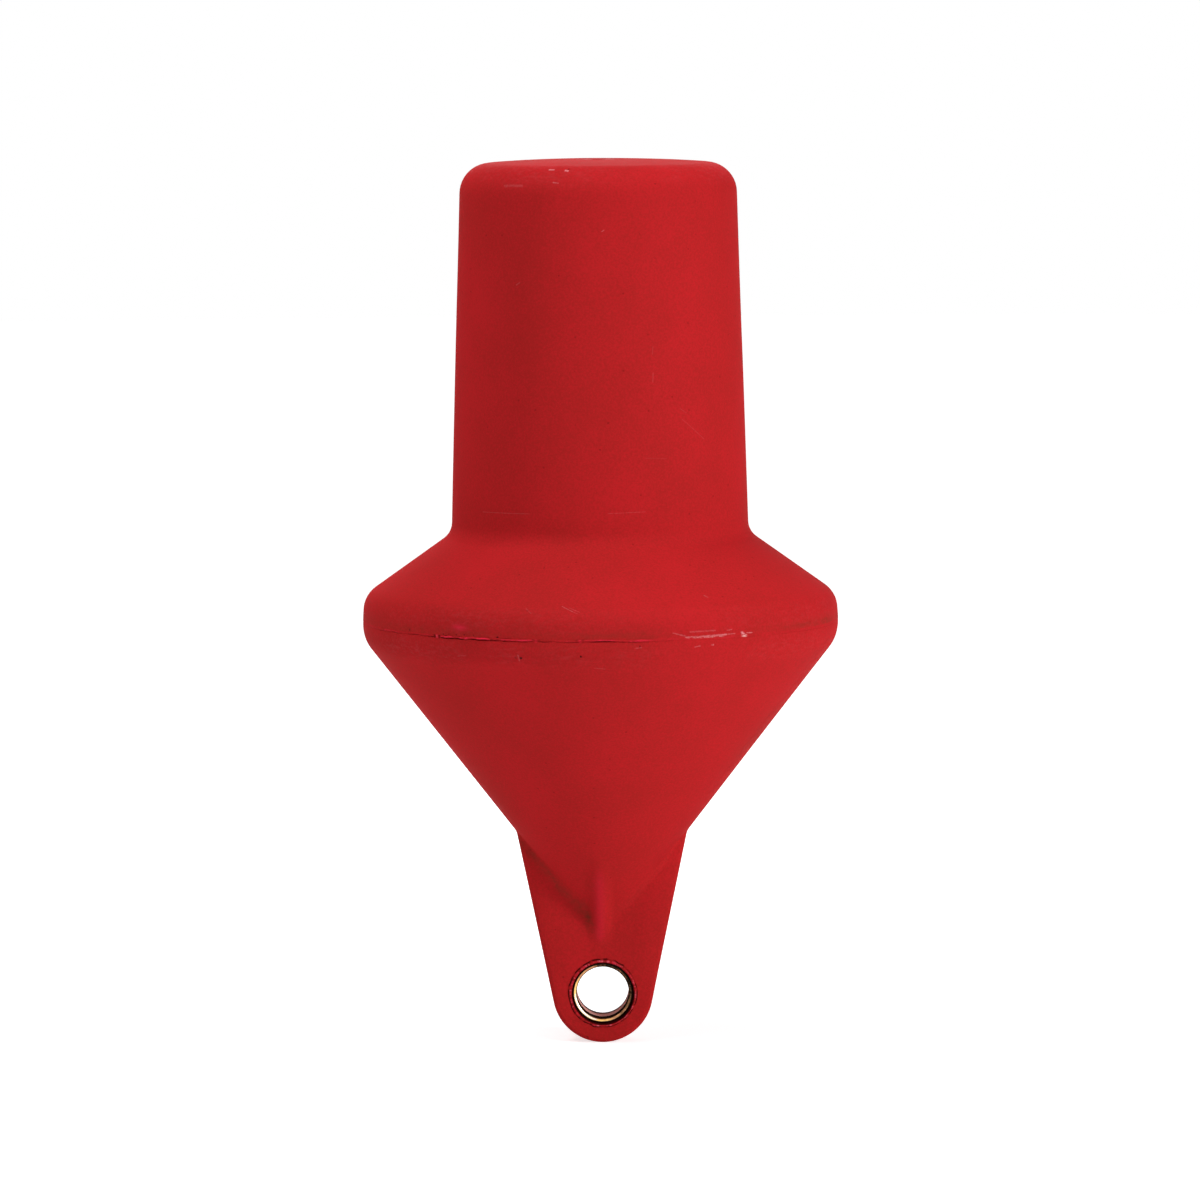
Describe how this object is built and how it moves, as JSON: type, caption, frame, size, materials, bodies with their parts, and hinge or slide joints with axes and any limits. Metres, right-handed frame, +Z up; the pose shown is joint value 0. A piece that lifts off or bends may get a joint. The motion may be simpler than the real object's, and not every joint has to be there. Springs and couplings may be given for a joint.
{
  "type": "can-shaped mooring and marker buoy",
  "caption": "Red can-shaped floating marker buoy: tapered can over a wide belted float, long lower cone, and a flat mooring lug with a metal-lined eye.",
  "frame": {"origin": "centre of the mould's parting plane, halfway up the belt, which is also the waterline of the moored buoy", "axes": "+Z up along the buoy's axis, +Y along the axis of the mooring eye, +X across the lug"},
  "size_m": [0.4019, 0.402, 0.7448],
  "materials": {
    "hull_plastic": "satin red polyethylene with a fine moulded grain",
    "flash_plastic": "cut and scuffed red polyethylene",
    "bush_metal": "yellow metal, worn and slightly tarnished",
    "plug_plastic": "satin red polyethylene, welded in"
  },
  "bodies": {
    "root": {"upper_moulding": "hull_plastic", "lower_moulding": "hull_plastic", "seam_bead": "flash_plastic", "mooring_bush": "bush_metal", "filling_plug": "plug_plastic"}
  },
  "joints": []
}
